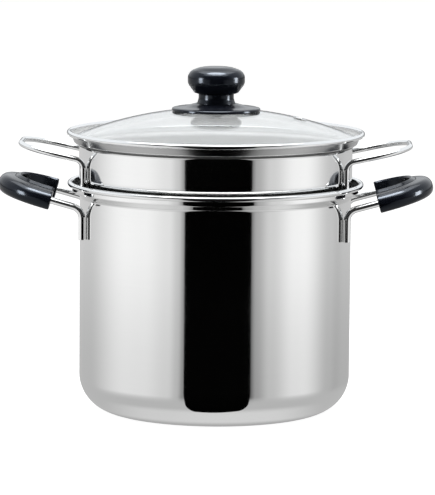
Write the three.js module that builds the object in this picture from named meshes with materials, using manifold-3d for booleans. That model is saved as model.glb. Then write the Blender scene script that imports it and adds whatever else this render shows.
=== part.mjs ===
// Stainless pasta pot with a lift-out strainer basket and a domed glass lid.
// Millimetres, +Z up. Z is the pot's axis, the base stands on z = 0 and the side handles lie on X.
import * as THREE from "three";
import { mergeGeometries, mergeVertices } from "three/addons/utils/BufferGeometryUtils.js";
import Module from "manifold-3d";

const wasm = await Module();
wasm.setup();

// Pot
const potBore = 220; // inside diameter of the straight wall
const potHeight = 188.7; // base to the top of the rolled lip
const sheet = 0.6; // steel sheet of the pot and the basket
const potCornerRadius = 30.5; // outside radius where the wall turns into the base
const baseDish = 0.8; // how far the middle of the base is pressed up
const baseRingWidth = 12; // flat ring that the pot stands on
const baseDishSlope = 6; // width of the step between the ring and the dish

// Rim, drawn alike on the pot and the basket so that the lid fits both
const rimFlare = 6.5; // how far the band stands out from the wall
const rimShoulderRise = 4.4; // height of the sloped shoulder
const rimBandDepth = 7.8; // top of the lip to the bottom of the band
const rimShoulderFillet = 2.6;
const rimBandFillet = 1.6;
const beadRadius = 2.1; // rolled edge

// Basket
const basketRise = 41.3; // how far its lip stands above the pot's lip
const sumpHeight = 22; // from the pot's base to the basket's bottom
const collarOverlap = 1.3; // how far the collar's radius passes the pot's bore
const strainerClearance = 3.5; // between the strainer wall and the pot wall
const basketCornerRadius = 22;
const stepFillet = 1.2; // at the step between collar and strainer

// Strainer holes
const holeDiameter = 5.2;
const holeRows = 6;
const holeMargin = 16; // plain wall left above and below the rows
const floorRings = 3; // rings of holes in the floor round the middle one
const floorMargin = 12; // plain floor left outside the last ring
const holesPerRing = 6; // added from one ring to the next
const holeSides = 6;

// Pot handles
const rodDiameter = 5.6;
const rodSpan = 78; // between the centres of the two legs
const rodBendDrop = 19.8; // from the pot's lip down to the bend
const rodLegLength = 25.2; // from the bend down to the cut end
const rodBendRadius = 10;
const rodTilt = 15.3; // degrees that the loop rises outwards
const rodReach = 63.5; // from the bend to the outer run, along the loop
const rodLoopRadius = 35;

// Grips
const gripStand = 26; // from the bend to the prong ends, along the loop
const gripDepth = 7.8; // from the rod's centre down to the underside
const gripPeak = 10.2; // from the rod's centre up to the inner top edge
const gripRidge = 5.8; // from the rod's centre up to the ridge where the sloped top ends
const gripRidgeOut = 2.6; // from the rod's centre out to that ridge
const gripOutside = 9; // from the rod's centre to the nose
const gripInside = 8.4; // from the rod's centre to the inner wall
const gripNoseDrop = 1; // how far the nose lies below the rod's centre
const gripBevel = 1.6; // chamfer along the inner top edge
const gripInnerEdge = 1.4; // chamfer along the inner bottom edge
const gripCrown = 0.6; // fullness of the crowned outer side, from 0 to 1

// Basket handles
const wireDiameter = 4.5;
const wireSpan = 84;
const wireBendDrop = 21.7; // from the basket's lip down to the bend
const wireFootGap = 1.8; // between the cut ends of the legs and the pot's shoulder
const wireBendRadius = 8;
const wireTilt = 12.2;
const wireReach = 53.1;
const wireLoopRadius = 30;

// Glass lid
const glassThickness = 4;
const domeRadius = 300; // of the outer face
const lidSideClearance = 1.2; // between the glass edge and the rim's band
const spindleHole = 8; // diameter in the middle of the glass
const ventRadius = 68; // from the lid's axis
const ventHole = 8; // diameter in the glass
const ventBore = 5;
const eyeletFlange = 11;
const eyeletSheet = 0.8;

// Knob
const skirtDiameter = 72;
const skirtEdge = 3; // thickness at its edge
const skirtRise = 0.5; // how far its top climbs towards the neck
const skirtRound = 1.1; // rounding of its edge
const hubDiameter = 22; // spigot that centres the knob
const hubRise = 2.2; // how far it stands above the skirt
const hubWall = 3; // left round the gasket's pocket
const knobHeight = 32.3; // from the skirt to the top of the cap
const neckFoot = 31; // diameters of the neck at its foot and waist
const neckWaist = 28.8;
const footRise = 5; // height over which the foot narrows
const capBottom = 11; // height of the cap's lower edge
const capLowerDiameter = 36;
const capDiameter = 46.6;
const capWidest = 22.4; // height of the widest place
const capRebate = 1; // depth of the shadow line between cap and neck
const capShoulder = 5.8; // how far the cap rises steeply above its widest place
const capCrown = 17.4; // radius out to which its top stays nearly flat

// Fixing of the knob
const screwDiameter = 5;
const screwHead = 10;
const screwHeadHeight = 2.4;
const screwHeadRound = 1.2; // chamfer of the pan head
const screwRecess = 4.4; // diameter of the drive recess
const screwRecessDepth = 1.4;
const screwGrip = 11; // length of thread in the insert
const insertDiameter = 8.8;
const gasketThickness = 1;
const washerMargin = 2; // how far the washer reaches past the gasket
const washerThickness = 1;

// Clearances
const fitGap = 0.3; // between pieces that touch
const boreGap = 0.4; // round the screw
const mergeDistance = 1e-4; // below which two points are one
const cutterLength = 16; // of the cylinders that cut the holes

// Fineness of the facets
const shellFlats = 36;
const knobFlats = 24;
const smallFlats = 12;
const rodSides = 8;
const arcStep = 22; // degrees for each facet of a large fillet
const smallArcStep = 45; // and of a small one
const smallFillet = 5; // radius up to which a fillet is small
const bendSteps = 5;
const crownSteps = 4; // along each half of the grip's crowned side
const domeSteps = 5;
const edgeSteps = 4; // round the glass edge
const skirtSteps = 3; // along the skirt's underside
const capLowerSteps = 3;
const capUpperSteps = 5;

// Helpers

const radians = THREE.MathUtils.degToRad;

// An indexed closed mesh with only positions, and with no flat triangles
function closedMesh(geometry) {
  const bare = new THREE.BufferGeometry();
  bare.setAttribute("position", geometry.getAttribute("position").clone());
  if (geometry.index) bare.setIndex(geometry.index.clone());
  const merged = mergeVertices(bare, mergeDistance);
  const corners = merged.index.array;
  const kept = [];
  for (let i = 0; i < corners.length; i += 3) {
    const [a, b, c] = corners.slice(i, i + 3);
    if (a !== b && b !== c && c !== a) kept.push(a, b, c);
  }
  merged.setIndex(kept);
  return merged;
}

function toSolid(geometry) {
  const merged = closedMesh(geometry);
  return new wasm.Manifold(
    new wasm.Mesh({
      numProp: 3,
      vertProperties: new Float32Array(merged.getAttribute("position").array),
      triVerts: new Uint32Array(merged.index.array),
    }),
  );
}

function fromSolid(solid) {
  const mesh = solid.getMesh();
  const geometry = new THREE.BufferGeometry();
  geometry.setAttribute("position", new THREE.BufferAttribute(mesh.vertProperties, 3));
  geometry.setIndex(new THREE.BufferAttribute(mesh.triVerts, 1));
  return geometry;
}

function onCircle(centre, radius, angle) {
  return new THREE.Vector2(Math.cos(angle), Math.sin(angle)).multiplyScalar(radius).add(centre);
}

// Points of an outline given by its corners, with an arc at each corner that has a fillet
function filleted(corners) {
  const points = [];
  corners.forEach((corner, i) => {
    const here = new THREE.Vector2(corner.r, corner.z);
    if (!corner.fillet) {
      points.push(here);
      return;
    }
    const before = new THREE.Vector2(corners[i - 1].r, corners[i - 1].z).sub(here).normalize();
    const after = new THREE.Vector2(corners[i + 1].r, corners[i + 1].z).sub(here).normalize();
    const turn = Math.PI - Math.acos(before.dot(after));
    const reach = corner.fillet * Math.tan(turn / 2);
    const middle = before.clone().add(after).normalize();
    const centre = here.clone().addScaledVector(middle, corner.fillet / Math.cos(turn / 2));
    const start = here.clone().addScaledVector(before, reach).sub(centre).angle();
    const sweep = Math.sign(after.cross(before)) * turn;
    const facet = radians(corner.fillet > smallFillet ? arcStep : smallArcStep);
    const steps = Math.max(1, Math.round(turn / facet));
    for (let k = 0; k <= steps; k += 1) {
      const angle = start + (sweep * k) / steps;
      points.push(onCircle(centre, corner.fillet, angle));
    }
  });
  return points;
}

// The same line moved sideways, to the left of its direction
function offsetLine(points, distance) {
  return points.map((point, i) => {
    const before = points[Math.max(i - 1, 0)];
    const after = points[Math.min(i + 1, points.length - 1)];
    const into = i > 0 ? point.clone().sub(before).normalize() : after.clone().sub(point).normalize();
    const out = i < points.length - 1 ? after.clone().sub(point).normalize() : into;
    const left = new THREE.Vector2(-into.y - out.y, into.x + out.x).normalize();
    const lean = left.x * -into.y + left.y * into.x;
    return point.clone().addScaledVector(left, distance / lean);
  });
}

// A solid turned about Z. The outline runs up on its outer side, from axis to axis or closed.
function turned(points, flats) {
  return new THREE.LatheGeometry(points, flats).rotateX(Math.PI / 2);
}

function ring(inner, outer, bottom, top, flats) {
  const section = [
    new THREE.Vector2(inner, bottom),
    new THREE.Vector2(outer, bottom),
    new THREE.Vector2(outer, top),
    new THREE.Vector2(inner, top),
    new THREE.Vector2(inner, bottom),
  ];
  return turned(section, flats);
}

// A bend between two straight runs
class Bend extends THREE.Curve {
  constructor(from, corner, to, radius) {
    super();
    const before = from.clone().sub(corner).normalize();
    const after = to.clone().sub(corner).normalize();
    this.turn = Math.PI - before.angleTo(after);
    const middle = before.clone().add(after).normalize();
    this.centre = corner.clone().addScaledVector(middle, radius / Math.cos(this.turn / 2));
    this.reach = radius * Math.tan(this.turn / 2);
    this.first = corner.clone().addScaledVector(before, this.reach).sub(this.centre);
    this.ahead = before.clone().multiplyScalar(-radius);
  }

  getPoint(t) {
    const angle = this.turn * t;
    const point = this.centre.clone().addScaledVector(this.first, Math.cos(angle));
    return point.addScaledVector(this.ahead, Math.sin(angle));
  }
}

// A rod's centre line through corners with bends. Straight runs take one step each.
class RodPath extends THREE.Curve {
  constructor(corners, radii) {
    super();
    this.pieces = [];
    let here = corners[0];
    radii.forEach((radius, i) => {
      const bend = new Bend(corners[i], corners[i + 1], corners[i + 2], radius);
      this.pieces.push({ curve: new THREE.LineCurve3(here, bend.getPoint(0)), steps: 1 });
      this.pieces.push({ curve: bend, steps: bendSteps });
      here = bend.getPoint(1);
    });
    this.pieces.push({ curve: new THREE.LineCurve3(here, corners.at(-1)), steps: 1 });
    this.steps = this.pieces.reduce((sum, piece) => sum + piece.steps, 0);
  }

  getPoint(t) {
    let along = t * this.steps;
    let index = 0;
    while (along > this.pieces[index].steps && index < this.pieces.length - 1) {
      along -= this.pieces[index].steps;
      index += 1;
    }
    const piece = this.pieces[index];
    return piece.curve.getPoint(along / piece.steps);
  }

  getUtoTmapping(u) {
    return u;
  }
}

// A flat path whose section keeps its x outwards and its y up
class LoopPath extends RodPath {
  computeFrenetFrames(steps) {
    const up = new THREE.Vector3(0, 0, 1);
    const tangents = Array.from({ length: steps + 1 }, (_, i) => this.getTangentAt(i / steps));
    const normals = tangents.map((tangent) => up.clone().cross(tangent));
    const binormals = tangents.map(() => up.clone());
    return { tangents, normals, binormals };
  }
}

function polygonPath(radius, sides) {
  const path = new THREE.Shape();
  for (let k = 0; k < sides; k += 1) {
    const angle = (2 * Math.PI * (k + 0.5)) / sides;
    const [x, y] = [radius * Math.cos(angle), radius * Math.sin(angle)];
    if (k === 0) path.moveTo(x, y);
    else path.lineTo(x, y);
  }
  path.closePath();
  return path;
}

function sweep(section, path) {
  const settings = { steps: path.steps, extrudePath: path, curveSegments: crownSteps };
  return new THREE.ExtrudeGeometry(section, settings);
}

function finish(color, roughness, metalness) {
  return new THREE.MeshStandardMaterial({ color, roughness, metalness });
}

const mirrorSteel = () => finish(0xd9dbdc, 0.08, 1);
const phenolic = () => finish(0x14161b, 0.28, 0);
const silicone = () => finish(0xb9beb6, 0.6, 0);
const brass = () => finish(0xb08d4c, 0.35, 1);
const temperedGlass = () => {
  const glass = finish(0xdfe9e8, 0.03, 0);
  glass.transparent = true;
  glass.opacity = 0.35;
  return glass;
};

function part(name, geometry, material) {
  const mesh = new THREE.Mesh(closedMesh(geometry), material);
  mesh.name = name;
  return mesh;
}

// Sizes that follow from the driving ones

const potRadius = potBore / 2 + sheet;
const collarRadius = potBore / 2 + collarOverlap;
const strainerRadius = potBore / 2 - strainerClearance;
const basketTop = potHeight + basketRise;
const basketBottom = sumpHeight;
const rodBendHeight = potHeight - rodBendDrop;
const wireBendHeight = basketTop - wireBendDrop;
const potBandBottom = potHeight - rimBandDepth;
const shoulderSlope = Math.atan2(rimShoulderRise, rimFlare);

// Corners of a rim's outer side, from the wall to the band
function rimCorners(wallRadius, top) {
  const bandBottom = top - rimBandDepth;
  return [
    { r: wallRadius, z: bandBottom - rimShoulderRise, fillet: rimShoulderFillet },
    { r: wallRadius + rimFlare, z: bandBottom, fillet: rimBandFillet },
  ];
}

// A drawn shell: its outer corners from the axis to the band, then the rolled bead, then the inside
function drawnShell(lowerCorners, wallRadius, top) {
  const bandRadius = wallRadius + rimFlare;
  const beadCentre = new THREE.Vector2(bandRadius - sheet + beadRadius, top - beadRadius);
  const sunk = beadRadius - sheet;
  const drop = Math.sqrt(beadRadius ** 2 - sunk ** 2);
  const bandEnd = { r: bandRadius, z: beadCentre.y - drop };
  const outside = filleted([...lowerCorners, ...rimCorners(wallRadius, top), bandEnd]);
  const inside = offsetLine(outside, sheet).reverse();
  inside[0].y = beadCentre.y;
  inside.at(-1).x = 0;
  const beadStart = Math.atan2(-drop, -sunk);
  const beadSteps = Math.round((Math.PI - beadStart) / radians(smallArcStep));
  const bead = Array.from({ length: beadSteps - 1 }, (_, k) => {
    const angle = beadStart + ((Math.PI - beadStart) * (k + 1)) / beadSteps;
    return onCircle(beadCentre, beadRadius, angle);
  });
  return turned([...outside, ...bead, ...inside], shellFlats);
}

// Pot

function potBody() {
  const flat = potRadius - potCornerRadius;
  const corners = [
    { r: 0, z: baseDish },
    { r: flat - baseRingWidth - baseDishSlope, z: baseDish },
    { r: flat - baseRingWidth, z: 0 },
    { r: potRadius, z: 0, fillet: potCornerRadius },
  ];
  return drawnShell(corners, potRadius, potHeight);
}

// How far out on X the legs of a handle stand, side by side against a round wall
function legDistance({ wall, diameter, span }) {
  return Math.sqrt((wall + fitGap + diameter / 2) ** 2 - (span / 2) ** 2);
}

// Centre line of a handle for the +X side: up the wall, out into a tilted loop and back down
function handlePath(shape) {
  const { span, legEnd, bendHeight, bendRadius, tilt, reach, loopRadius } = shape;
  const legX = legDistance(shape);
  const halfSpan = span / 2;
  const outX = legX + reach * Math.cos(radians(tilt));
  const outZ = bendHeight + reach * Math.sin(radians(tilt));
  const corners = [
    new THREE.Vector3(legX, halfSpan, legEnd),
    new THREE.Vector3(legX, halfSpan, bendHeight),
    new THREE.Vector3(outX, halfSpan, outZ),
    new THREE.Vector3(outX, -halfSpan, outZ),
    new THREE.Vector3(legX, -halfSpan, bendHeight),
    new THREE.Vector3(legX, -halfSpan, legEnd),
  ];
  return new RodPath(corners, [bendRadius, loopRadius, loopRadius, bendRadius]);
}

function handleRod(shape) {
  return sweep(polygonPath(shape.diameter / 2, rodSides), handlePath(shape));
}

const rodShape = {
  wall: potRadius,
  diameter: rodDiameter,
  span: rodSpan,
  legEnd: rodBendHeight - rodLegLength,
  bendHeight: rodBendHeight,
  bendRadius: rodBendRadius,
  tilt: rodTilt,
  reach: rodReach,
  loopRadius: rodLoopRadius,
};

const wireShape = {
  wall: collarRadius,
  diameter: wireDiameter,
  span: wireSpan,
  legEnd: potBandBottom + sheet + wireFootGap,
  bendHeight: wireBendHeight,
  bendRadius: wireBendRadius,
  tilt: wireTilt,
  reach: wireReach,
  loopRadius: wireLoopRadius,
};

// Section of the grip, a wedge: tall inner wall, top sloping out to a ridge, crowned outside, rod's tunnel
function gripSection() {
  const crown = gripOutside * gripCrown;
  const ridgeCrown = gripRidgeOut + (gripOutside - gripRidgeOut) * gripCrown;
  const section = new THREE.Shape();
  section.moveTo(-gripInside, gripInnerEdge - gripDepth);
  section.lineTo(gripInnerEdge - gripInside, -gripDepth);
  section.lineTo(0, -gripDepth);
  section.bezierCurveTo(crown, -gripDepth, gripOutside, -gripDepth * gripCrown, gripOutside, -gripNoseDrop);
  section.bezierCurveTo(gripOutside, gripRidge * gripCrown, ridgeCrown, gripRidge, gripRidgeOut, gripRidge);
  section.lineTo(gripBevel - gripInside, gripPeak);
  section.lineTo(-gripInside, gripPeak - gripBevel);
  section.closePath();
  section.holes.push(polygonPath(rodDiameter / 2 + fitGap, rodSides));
  return section;
}

// The grip follows the rod's loop. Its own frame lies in the loop's plane, with its origin at the bend.
function gripMesh(name) {
  const halfSpan = rodSpan / 2;
  const corners = [
    new THREE.Vector3(gripStand, halfSpan, 0),
    new THREE.Vector3(rodReach, halfSpan, 0),
    new THREE.Vector3(rodReach, -halfSpan, 0),
    new THREE.Vector3(gripStand, -halfSpan, 0),
  ];
  const path = new LoopPath(corners, [rodLoopRadius, rodLoopRadius]);
  const mesh = part(name, sweep(gripSection(), path), phenolic());
  mesh.position.set(legDistance(rodShape), 0, rodBendHeight);
  mesh.rotation.y = -radians(rodTilt);
  return mesh;
}

// Basket

// The step between collar and strainer lies along the pot's shoulder, a gap above it
const stepLift = (sheet + fitGap) / Math.cos(shoulderSlope);
const potShoulderFoot = potBandBottom - rimShoulderRise;
const stepHeight = (r) => potShoulderFoot + stepLift + (r - potRadius) * Math.tan(shoulderSlope);

function basketBody() {
  const corners = [
    { r: 0, z: basketBottom },
    { r: strainerRadius, z: basketBottom, fillet: basketCornerRadius },
    { r: strainerRadius, z: stepHeight(strainerRadius), fillet: stepFillet },
    { r: collarRadius, z: stepHeight(collarRadius), fillet: stepFillet },
  ];
  const shell = toSolid(drawnShell(corners, collarRadius, basketTop));
  return shell.subtract(toSolid(mergeGeometries([...wallDrills(), ...floorDrills()])));
}

// A cutter for a round hole, along Z with a corner on X
function cutter(diameter, sides) {
  const bar = new THREE.CylinderGeometry(diameter / 2, diameter / 2, cutterLength, sides);
  return bar.rotateY(Math.PI / 2).rotateX(Math.PI / 2);
}

// Staggered rows on alternate flats of the strainer wall
function wallDrills() {
  const list = [];
  const flat = (2 * Math.PI) / shellFlats;
  const lowest = basketBottom + basketCornerRadius + holeMargin;
  const highest = stepHeight(strainerRadius) - holeMargin;
  for (let row = 0; row < holeRows; row += 1) {
    const z = lowest + ((highest - lowest) * row) / (holeRows - 1);
    for (let k = row % 2; k < shellFlats; k += 2) {
      const bit = cutter(holeDiameter, holeSides).rotateY(Math.PI / 2).translate(strainerRadius, 0, z);
      list.push(bit.rotateZ((k + 0.5) * flat));
    }
  }
  return list;
}

// Rings of holes round the middle one in the strainer's flat floor
function floorDrills() {
  const list = [];
  const pitch = (strainerRadius - basketCornerRadius - floorMargin) / floorRings;
  for (let count = 0; count <= floorRings; count += 1) {
    const holes = Math.max(1, count * holesPerRing);
    for (let k = 0; k < holes; k += 1) {
      const bit = cutter(holeDiameter, holeSides).translate(count * pitch, 0, basketBottom);
      list.push(bit.rotateZ((2 * Math.PI * k) / holes));
    }
  }
  return list;
}

// Lid

// The glass edge is half round and rests on the sloped shoulder inside the basket's rim
const bandInside = collarRadius + rimFlare - sheet;
const edgeRadius = glassThickness / 2;
const edgeCentreR = bandInside - lidSideClearance - edgeRadius;
const basketShoulder = rimCorners(collarRadius, basketTop)[0];
const seatDistance = (sheet + fitGap + edgeRadius) / Math.cos(shoulderSlope);
const seatClimb = (edgeCentreR - collarRadius) * Math.tan(shoulderSlope);
const edgeCentreZ = basketShoulder.z + seatClimb + seatDistance;
const domeMiddle = domeRadius - edgeRadius;
const domeCentreZ = edgeCentreZ - Math.sqrt(domeMiddle ** 2 - edgeCentreR ** 2);
const glassTop = domeCentreZ + domeRadius;
const innerDomeRadius = domeRadius - glassThickness;
const glassHeight = (r) => domeCentreZ + Math.sqrt(domeRadius ** 2 - r ** 2);
const glassUnder = (r) => domeCentreZ + Math.sqrt(innerDomeRadius ** 2 - r ** 2);

const hubRadius = hubDiameter / 2;
const gasketRadius = hubRadius - hubWall - fitGap;
const washerRadius = gasketRadius + washerMargin;

// The dome's facets begin at the washer's edge, so that the middle lies flat between the gaskets
function lidGlass() {
  const edgeCentre = new THREE.Vector2(edgeCentreR, edgeCentreZ);
  const first = Math.asin(washerRadius / domeMiddle);
  const last = Math.asin(edgeCentreR / domeMiddle);
  const centre = new THREE.Vector2(0, domeCentreZ);
  const dome = (radius) => {
    const points = [onCircle(centre, radius, Math.PI / 2)];
    for (let k = 0; k <= domeSteps; k += 1) {
      const lean = first + ((last - first) * k) / domeSteps;
      points.push(onCircle(centre, radius, Math.PI / 2 - lean));
    }
    points[0].x = 0;
    return points;
  };
  const edge = [];
  for (let k = 1; k < edgeSteps; k += 1) {
    const angle = (Math.PI * k) / edgeSteps - Math.PI / 2 - last;
    edge.push(onCircle(edgeCentre, edgeRadius, angle));
  }
  const outline = [...dome(innerDomeRadius), ...edge, ...dome(domeRadius).reverse()];
  const spindle = cutter(spindleHole, smallFlats).translate(0, 0, glassTop);
  const vent = cutter(ventHole, smallFlats).translate(0, 0, domeMiddle);
  vent.rotateY(ventLean).translate(0, 0, domeCentreZ);
  const holes = toSolid(mergeGeometries([spindle, vent]));
  return toSolid(turned(outline, shellFlats)).subtract(holes);
}

// The vent stands square to the dome
const ventLean = Math.asin(ventRadius / domeRadius);

function ventEyelet() {
  const under = edgeRadius + fitGap;
  const over = under + eyeletSheet;
  const tube = ventHole / 2 - fitGap;
  const section = [
    [ventBore / 2, -over],
    [eyeletFlange / 2, -over],
    [eyeletFlange / 2, -under],
    [tube, -under],
    [tube, under],
    [eyeletFlange / 2, under],
    [eyeletFlange / 2, over],
    [ventBore / 2, over],
    [ventBore / 2, -over],
  ];
  return turned(section.map(([r, z]) => new THREE.Vector2(r, z)), smallFlats);
}

const skirtRadius = skirtDiameter / 2;
const skirtBottom = glassHeight(skirtRadius) + fitGap;
const skirtTop = skirtBottom + skirtEdge;
const gasketBottom = glassTop + fitGap;
const hubUnder = gasketBottom + gasketThickness + fitGap;
const hubTop = skirtTop + skirtRise + hubRise;
const knobBottom = skirtTop + skirtRise + fitGap;
const knobTop = knobBottom + knobHeight;
const screwHole = screwDiameter / 2 + boreGap;

// The skirt's underside follows the dome, with a flat pocket for the gasket
function knobBase() {
  const pocket = gasketRadius + fitGap;
  const corners = [
    { r: screwHole, z: hubTop },
    { r: screwHole, z: hubUnder },
    { r: pocket, z: hubUnder },
  ];
  for (let k = 0; k < skirtSteps; k += 1) {
    const r = pocket + ((skirtRadius - pocket) * k) / skirtSteps;
    corners.push({ r, z: glassHeight(r) + fitGap });
  }
  corners.push(
    { r: skirtRadius, z: skirtBottom, fillet: skirtRound },
    { r: skirtRadius, z: skirtTop, fillet: skirtRound },
    { r: neckFoot / 2, z: skirtTop + skirtRise },
    { r: hubRadius, z: skirtTop + skirtRise },
    { r: hubRadius, z: hubTop },
    { r: screwHole, z: hubTop },
  );
  return turned(filleted(corners), knobFlats);
}

const recessTop = hubTop + fitGap;
const insertBottom = recessTop + fitGap;
const insertTop = insertBottom + screwGrip + fitGap;

// Knob: blind pocket for the insert, recess for the hub, neck, and a mushroom cap
function lidKnob() {
  const pocketTop = insertTop + fitGap;
  const pocket = insertDiameter / 2 + fitGap;
  const recess = hubRadius + fitGap;
  const capRadius = capDiameter / 2;
  const lower = new THREE.QuadraticBezierCurve(
    new THREE.Vector2(capLowerDiameter / 2, knobBottom + capBottom),
    new THREE.Vector2(capRadius, knobBottom + (capBottom + capWidest) / 2),
    new THREE.Vector2(capRadius, knobBottom + capWidest),
  );
  const upper = new THREE.CubicBezierCurve(
    new THREE.Vector2(capRadius, knobBottom + capWidest),
    new THREE.Vector2(capRadius, knobBottom + capWidest + capShoulder),
    new THREE.Vector2(capCrown, knobTop),
    new THREE.Vector2(0, knobTop),
  );
  const inside = [
    [0, pocketTop],
    [pocket, pocketTop],
    [pocket, recessTop],
    [recess, recessTop],
    [recess, knobBottom],
    [neckFoot / 2, knobBottom],
    [neckWaist / 2, knobBottom + footRise],
    [neckWaist / 2, knobBottom + capBottom - capRebate],
  ];
  const points = inside.map(([r, z]) => new THREE.Vector2(r, z));
  const cap = [...lower.getPoints(capLowerSteps), ...upper.getPoints(capUpperSteps).slice(1)];
  return turned([...points, ...cap], knobFlats);
}

const lowerGasketTop = glassUnder(gasketRadius) - fitGap;
const washerTop = lowerGasketTop - gasketThickness - fitGap;
const screwHeadTop = washerTop - washerThickness - fitGap;

function knobScrew() {
  const shank = screwDiameter / 2;
  const head = screwHead / 2;
  const bottom = screwHeadTop - screwHeadHeight;
  const section = [
    [0, bottom + screwRecessDepth],
    [screwRecess / 2, bottom + screwRecessDepth],
    [screwRecess / 2, bottom],
    [head - screwHeadRound, bottom],
    [head, bottom + screwHeadRound],
    [head, screwHeadTop],
    [shank, screwHeadTop],
    [shank, insertTop - fitGap],
    [0, insertTop - fitGap],
  ];
  return turned(section.map(([r, z]) => new THREE.Vector2(r, z)), smallFlats);
}

// Assembly

const pot = new THREE.Group();
pot.add(part("pot_body", potBody(), mirrorSteel()));

const basket = new THREE.Group();
basket.add(part("basket_body", fromSolid(basketBody()), mirrorSteel()));

for (const [side, turn] of [["right", 0], ["left", Math.PI]]) {
  const potSide = new THREE.Group();
  potSide.add(part(`pot_handle_rod_${side}`, handleRod(rodShape), mirrorSteel()));
  potSide.add(gripMesh(`pot_grip_${side}`));
  potSide.rotation.z = turn;
  pot.add(potSide);
  const wire = part(`basket_handle_${side}`, handleRod(wireShape), mirrorSteel());
  wire.rotation.z = turn;
  basket.add(wire);
}

const lid = new THREE.Group();
lid.add(part("lid_glass", fromSolid(lidGlass()), temperedGlass()));
const eyelet = part("vent_eyelet", ventEyelet(), mirrorSteel());
eyelet.position.set(domeMiddle * Math.sin(ventLean), 0, domeCentreZ + domeMiddle * Math.cos(ventLean));
eyelet.rotation.y = ventLean;
lid.add(eyelet);
lid.add(part("knob_base", knobBase(), phenolic()));
lid.add(part("lid_knob", lidKnob(), phenolic()));
const insert = ring(screwHole, insertDiameter / 2, insertBottom, insertTop, smallFlats);
lid.add(part("knob_insert", insert, brass()));
const gasket = (bottom) => ring(screwHole, gasketRadius, bottom, bottom + gasketThickness, knobFlats);
lid.add(part("knob_gasket_upper", gasket(gasketBottom), silicone()));
lid.add(part("knob_gasket_lower", gasket(lowerGasketTop - gasketThickness), silicone()));
const washer = ring(screwHole, washerRadius, washerTop - washerThickness, washerTop, knobFlats);
lid.add(part("knob_washer", washer, mirrorSteel()));
lid.add(part("knob_screw", knobScrew(), mirrorSteel()));

const pastaPot = new THREE.Group();
pastaPot.add(pot, basket, lid);

export default pastaPot;
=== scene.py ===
# Stainless pasta pot with a lift-out strainer basket and a domed glass lid
import math

import bmesh
import bpy
from mathutils import Matrix, Vector


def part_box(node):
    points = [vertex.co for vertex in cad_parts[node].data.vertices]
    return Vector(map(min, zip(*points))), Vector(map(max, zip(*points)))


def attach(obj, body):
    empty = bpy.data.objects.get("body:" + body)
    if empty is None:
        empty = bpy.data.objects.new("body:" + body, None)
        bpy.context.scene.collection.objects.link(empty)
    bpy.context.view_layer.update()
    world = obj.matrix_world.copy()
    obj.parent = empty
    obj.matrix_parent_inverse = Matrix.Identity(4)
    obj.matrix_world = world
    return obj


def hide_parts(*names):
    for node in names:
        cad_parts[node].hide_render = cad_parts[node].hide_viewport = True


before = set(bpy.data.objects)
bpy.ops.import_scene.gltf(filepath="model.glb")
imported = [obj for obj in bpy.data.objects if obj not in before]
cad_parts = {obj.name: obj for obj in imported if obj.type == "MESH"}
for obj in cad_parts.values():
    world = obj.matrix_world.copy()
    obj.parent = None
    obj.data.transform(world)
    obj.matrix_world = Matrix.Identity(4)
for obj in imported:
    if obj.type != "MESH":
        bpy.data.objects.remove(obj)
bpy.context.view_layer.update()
scene = bpy.context.scene
scene.view_settings.view_transform = "Standard"
print("frame loaded:", len(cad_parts), "nodes")


# camera: a long lens a little above the lid, turned slightly towards the vent side
shot = dict(distance=3.0, azimuth=1.0, eyeHeight=0.517, aim=(0.002, 0.0, 0.1338), lens=269.25, roll=0.45)


def placeCamera():
    lens = bpy.data.cameras.new("photoCamera")
    lens.lens = shot["lens"]
    lens.sensor_width = 36.0
    lens.clip_end = 50.0
    camera = bpy.data.objects.new("photoCamera", lens)
    scene.collection.objects.link(camera)
    turn = math.radians(shot["azimuth"])
    aim = Vector(shot["aim"])
    away = Vector((math.sin(turn), -math.cos(turn), 0.0)) * shot["distance"]
    eye = Vector((aim.x + away.x, aim.y + away.y, shot["eyeHeight"]))
    look = (aim - eye).to_track_quat("-Z", "Y").to_matrix()
    tilt = Matrix.Rotation(math.radians(shot["roll"]), 3, "Z")
    camera.matrix_world = Matrix.Translation(eye) @ (look @ tilt).to_4x4()
    scene.camera = camera


placeCamera()
print("camera placed")


# shared shader groups

def startGroup(name, inputs, outputs):
    group = bpy.data.node_groups.new(name, "ShaderNodeTree")
    for label, kind, value in inputs:
        socket = group.interface.new_socket(label, in_out="INPUT", socket_type=kind)
        if value is not None:
            socket.default_value = value
    for label, kind in outputs:
        group.interface.new_socket(label, in_out="OUTPUT", socket_type=kind)
    nodes = group.nodes
    return group, nodes, nodes.new("NodeGroupInput"), nodes.new("NodeGroupOutput")


def mathNode(nodes, links, operation, first, second=None):
    node = nodes.new("ShaderNodeMath")
    node.operation = operation
    for socket, value in zip(node.inputs, (first, second)):
        if value is None:
            continue
        if isinstance(value, (int, float)):
            socket.default_value = value
        else:
            links.new(value, socket)
    return node.outputs[0]


def noiseNode(nodes, links, vector, scale, detail=2.0, roughness=0.5):
    node = nodes.new("ShaderNodeTexNoise")
    node.inputs["Detail"].default_value = detail
    node.inputs["Roughness"].default_value = roughness
    if isinstance(scale, (int, float)):
        node.inputs["Scale"].default_value = scale
    else:
        links.new(scale, node.inputs["Scale"])
    links.new(vector, node.inputs["Vector"])
    return node.outputs["Fac"]


def spread(nodes, links, value, low, high):
    node = nodes.new("ShaderNodeMapRange")
    node.inputs["From Min"].default_value = 0.3
    node.inputs["From Max"].default_value = 0.7
    for socket, bound in (("To Min", low), ("To Max", high)):
        if isinstance(bound, (int, float)):
            node.inputs[socket].default_value = bound
        else:
            links.new(bound, node.inputs[socket])
    links.new(value, node.inputs["Value"])
    return node.outputs["Result"]


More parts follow.
